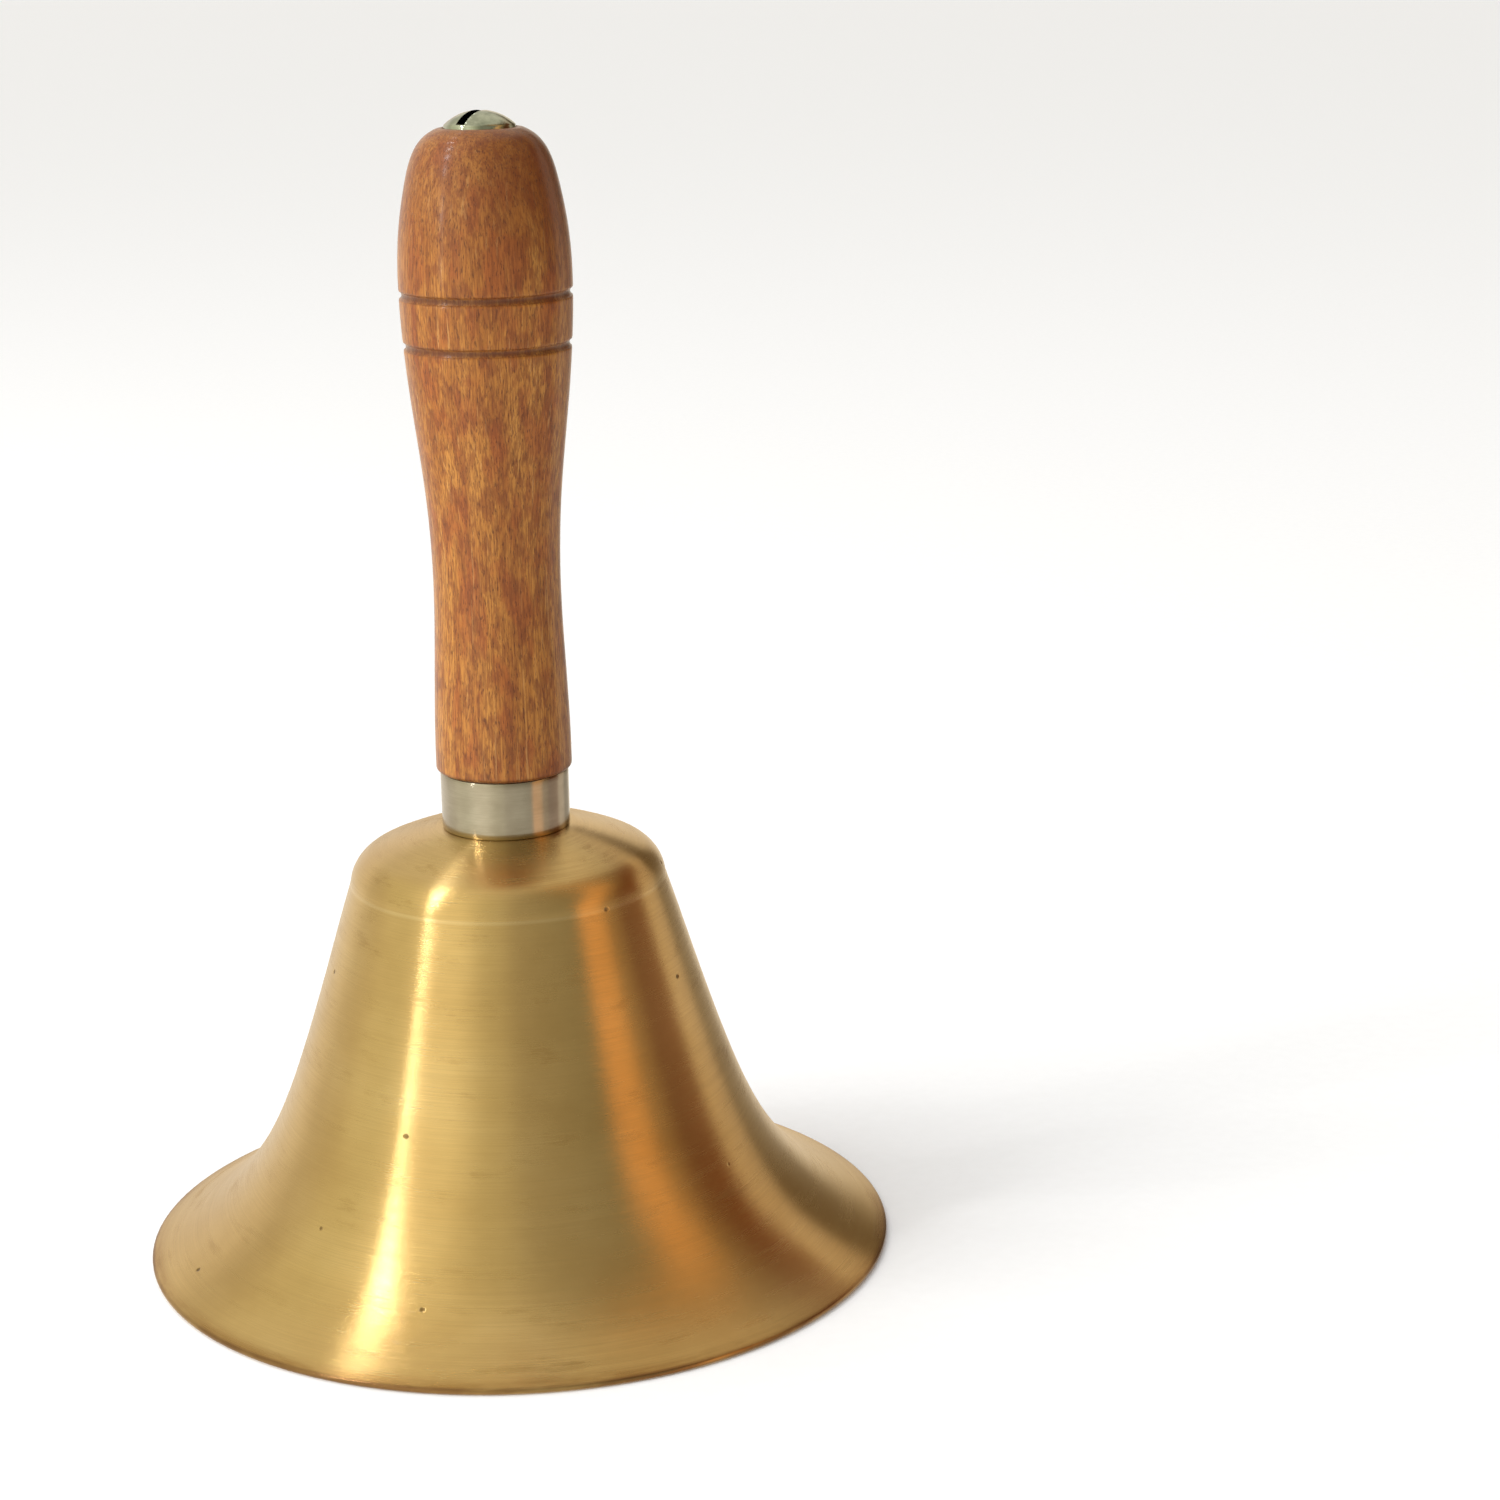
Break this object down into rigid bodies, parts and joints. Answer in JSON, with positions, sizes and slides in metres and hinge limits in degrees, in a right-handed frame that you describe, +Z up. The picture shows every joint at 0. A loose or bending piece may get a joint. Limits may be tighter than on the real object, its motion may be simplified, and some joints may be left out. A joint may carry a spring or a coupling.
{
  "type": "hand bell",
  "caption": "Brass hand bell with a flared mouth, a turned wooden handle in a metal ferrule, and a clapper hung inside on wire links.",
  "frame": {"origin": "centre of the rim plane, on which the bell stands mouth down", "axes": "+Z up the axis of the bell and handle, +Y away from a viewer who faces the bell, +X to their right"},
  "size_m": [0.08, 0.08, 0.121],
  "materials": {
    "bell_brass": "satin, brushed round the axis",
    "washer_plating": "pink-copper plated, semi-gloss",
    "eye_steel": "yellow-tinted zinc plating",
    "link_wire": "bright drawn wire",
    "clapper_iron": "dull grey, rubbed brighter on the ball",
    "ferrule_metal": "satin, turned",
    "handle_wood": "thin clear varnish",
    "cap_plating": "polished plating"
  },
  "bodies": {
    "bell": {"bell_body": "bell_brass", "crown_washer": "washer_plating", "eye_bolt": "eye_steel", "ferrule": "ferrule_metal", "handle": "handle_wood", "cap_nut": "cap_plating"},
    "upper_link": {"upper_link": "link_wire"},
    "lower_link": {"lower_link": "link_wire"},
    "clapper": {"clapper": "clapper_iron"}
  },
  "joints": [
    {"name": "upper_link_swing", "type": "hinge", "parent": "bell", "child": "upper_link", "pos_m": [0, 0, 0.03526], "axis": [1, 0, 0], "range_deg": [-26, 26]},
    {"name": "lower_link_swing", "type": "hinge", "parent": "upper_link", "child": "lower_link", "pos_m": [0, 0, 0.02736], "axis": [0, 1, 0], "range_deg": [-28, 28]},
    {"name": "clapper_swing", "type": "hinge", "parent": "lower_link", "child": "clapper", "pos_m": [0, 0, 0.01986], "axis": [1, 0, 0], "range_deg": [-20, 20]}
  ]
}
